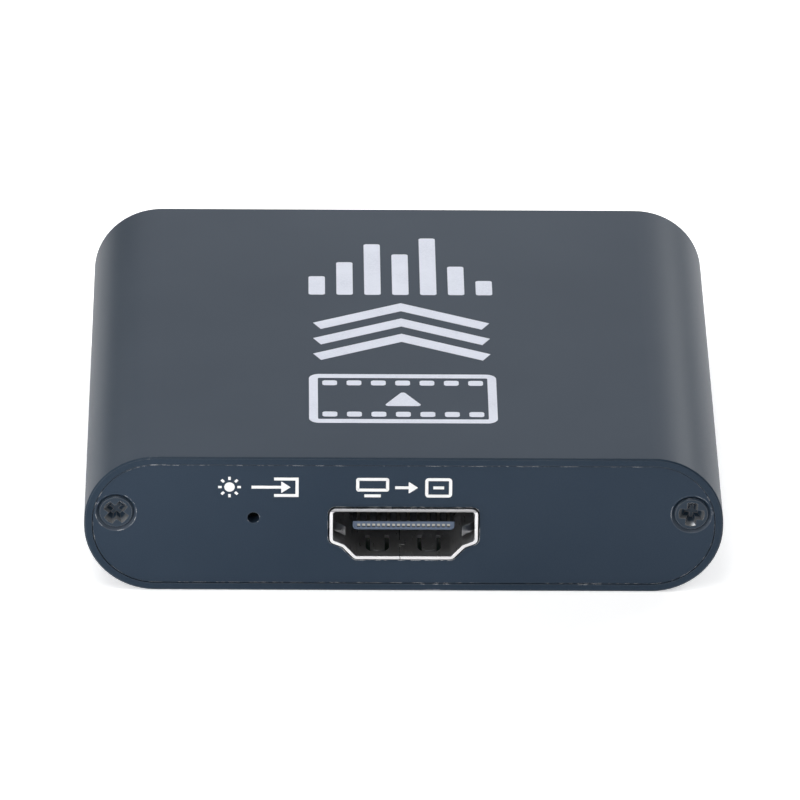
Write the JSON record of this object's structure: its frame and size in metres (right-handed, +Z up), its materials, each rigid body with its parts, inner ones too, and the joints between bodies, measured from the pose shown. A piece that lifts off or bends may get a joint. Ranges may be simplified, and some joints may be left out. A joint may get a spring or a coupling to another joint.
{
  "type": "video capture box",
  "caption": "Slim round-sided metal box with a video socket in its front plate and a data socket in its rear plate, which passes video from a player to a computer.",
  "frame": {"origin": "middle of the flat underside, where the box stands", "axes": "+Z up, front end with the video socket facing -Y, +X to the right seen from the front"},
  "size_m": [0.064, 0.0604, 0.0148],
  "materials": {
    "case_paint": "satin, fine grain",
    "plate_paint": "satin, fine grain",
    "screw_steel": "satin black",
    "port_steel": "nickel plated",
    "contact_metal": "gold plated",
    "grey_moulding": "matt",
    "blue_moulding": "matt",
    "board_laminate": "dark solder mask",
    "lens_resin": "milky",
    "tinned_metal": "tinned",
    "chip_resin": "moulded",
    "ferrite": "sintered",
    "yellow_resin": "moulded",
    "chip_ceramic": "fired"
  },
  "bodies": {
    "root": {"case_extrusion": "case_paint", "front_plate": "plate_paint", "rear_plate": "plate_paint", "front_plate_screws": "screw_steel", "rear_plate_screws": "screw_steel", "circuit_board": "board_laminate", "video_port_shell": "port_steel", "video_port_tongue": "grey_moulding", "video_port_contacts": "contact_metal", "data_port_shell": "port_steel", "data_port_tongue": "blue_moulding", "data_port_contacts": "contact_metal", "front_light_lens": "lens_resin", "front_light_leads": "tinned_metal", "rear_light_lens": "lens_resin", "rear_light_leads": "tinned_metal", "capture_chip": "chip_resin", "video_receiver_chip": "chip_resin", "video_receiver_leads": "tinned_metal", "frame_memory_chip": "chip_resin", "firmware_chip": "chip_resin", "firmware_chip_leads": "tinned_metal", "voltage_regulators": "chip_resin", "voltage_regulator_leads": "tinned_metal", "surge_guards": "chip_resin", "crystals": "tinned_metal", "power_inductors": "ferrite", "bulk_capacitors": "yellow_resin", "ceramic_capacitors": "chip_ceramic", "chip_resistors": "chip_ceramic"}
  },
  "joints": []
}
